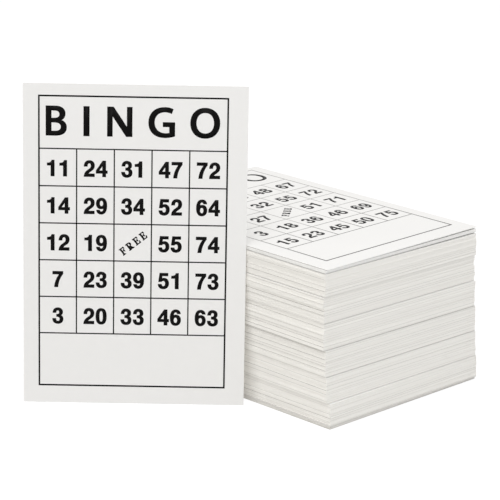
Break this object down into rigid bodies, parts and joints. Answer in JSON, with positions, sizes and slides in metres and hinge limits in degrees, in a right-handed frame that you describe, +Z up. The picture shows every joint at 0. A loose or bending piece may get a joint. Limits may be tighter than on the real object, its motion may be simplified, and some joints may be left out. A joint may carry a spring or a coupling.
{
  "type": "bingo cards",
  "caption": "Square stack of loose printed number-game cards, with one card of the same kind stood upright and leaning on the stack's edge.",
  "frame": {"origin": "middle of the underside of the bottom card of the stack, on the surface that the part stands on", "axes": "+Z up; -Y the way the printed face of the leaning card looks; the stack's long edges lie at 45 degrees to X and Y"},
  "size_m": [0.2182, 0.1827, 0.1516],
  "materials": {
    "board": "matt white board, cream at its cut edges",
    "ink": "thin black printing ink, slightly glossy"
  },
  "bodies": {
    "pack_1": {"pack_1_bottom_cards": "board", "pack_1_lower_cards": "board", "pack_1_middle_cards": "board", "pack_1_upper_cards": "board", "pack_1_top_cards": "board", "pack_1_print": "ink"},
    "pack_2": {"pack_2_bottom_cards": "board", "pack_2_lower_cards": "board", "pack_2_middle_cards": "board", "pack_2_upper_cards": "board", "pack_2_top_cards": "board", "pack_2_print": "ink"},
    "pack_3": {"pack_3_bottom_cards": "board", "pack_3_lower_cards": "board", "pack_3_middle_cards": "board", "pack_3_upper_cards": "board", "pack_3_top_cards": "board", "pack_3_print": "ink"},
    "pack_4": {"pack_4_bottom_cards": "board", "pack_4_lower_cards": "board", "pack_4_middle_cards": "board", "pack_4_upper_cards": "board", "pack_4_top_cards": "board", "pack_4_print": "ink"},
    "pack_5": {"pack_5_bottom_cards": "board", "pack_5_lower_cards": "board", "pack_5_middle_cards": "board", "pack_5_upper_cards": "board", "pack_5_top_cards": "board", "pack_5_print": "ink"},
    "pack_6": {"pack_6_bottom_cards": "board", "pack_6_lower_cards": "board", "pack_6_middle_cards": "board", "pack_6_upper_cards": "board", "pack_6_top_cards": "board", "pack_6_print": "ink"},
    "fourth_card": {"fourth_card": "board", "fourth_card_print": "ink"},
    "third_card": {"third_card": "board", "third_card_print": "ink"},
    "second_card": {"second_card": "board", "second_card_print": "ink"},
    "top_card": {"top_card": "board", "top_card_print": "ink"},
    "leaning_card": {"leaning_card": "board", "leaning_card_print": "ink"}
  },
  "joints": [
    {"name": "pack_2_slide", "type": "slide", "parent": "pack_1", "child": "pack_2", "axis": [0.7071, -0.7071, 0], "range_m": [0, 0.07]},
    {"name": "pack_3_slide", "type": "slide", "parent": "pack_1", "child": "pack_3", "axis": [0.7071, -0.7071, 0], "range_m": [0, 0.07]},
    {"name": "pack_4_slide", "type": "slide", "parent": "pack_1", "child": "pack_4", "axis": [0.7071, -0.7071, 0], "range_m": [0, 0.07]},
    {"name": "pack_5_slide", "type": "slide", "parent": "pack_1", "child": "pack_5", "axis": [0.7071, -0.7071, 0], "range_m": [0, 0.07]},
    {"name": "pack_6_slide", "type": "slide", "parent": "pack_1", "child": "pack_6", "axis": [0.7071, -0.7071, 0], "range_m": [0, 0.07]},
    {"name": "fourth_card_lift", "type": "slide", "parent": "pack_6", "child": "fourth_card", "axis": [0, 0.2588, 0.9659], "range_m": [0, 0.06]},
    {"name": "third_card_lift", "type": "slide", "parent": "fourth_card", "child": "third_card", "axis": [0, 0.2588, 0.9659], "range_m": [0, 0.06]},
    {"name": "second_card_lift", "type": "slide", "parent": "third_card", "child": "second_card", "axis": [0, 0.2588, 0.9659], "range_m": [0, 0.06]},
    {"name": "top_card_lift", "type": "slide", "parent": "second_card", "child": "top_card", "axis": [0, 0.2588, 0.9659], "range_m": [0, 0.06]},
    {"name": "leaning_card_lift", "type": "slide", "parent": "pack_1", "child": "leaning_card", "axis": [0, 0.0764, 0.9971], "range_m": [0, 0.09]}
  ]
}
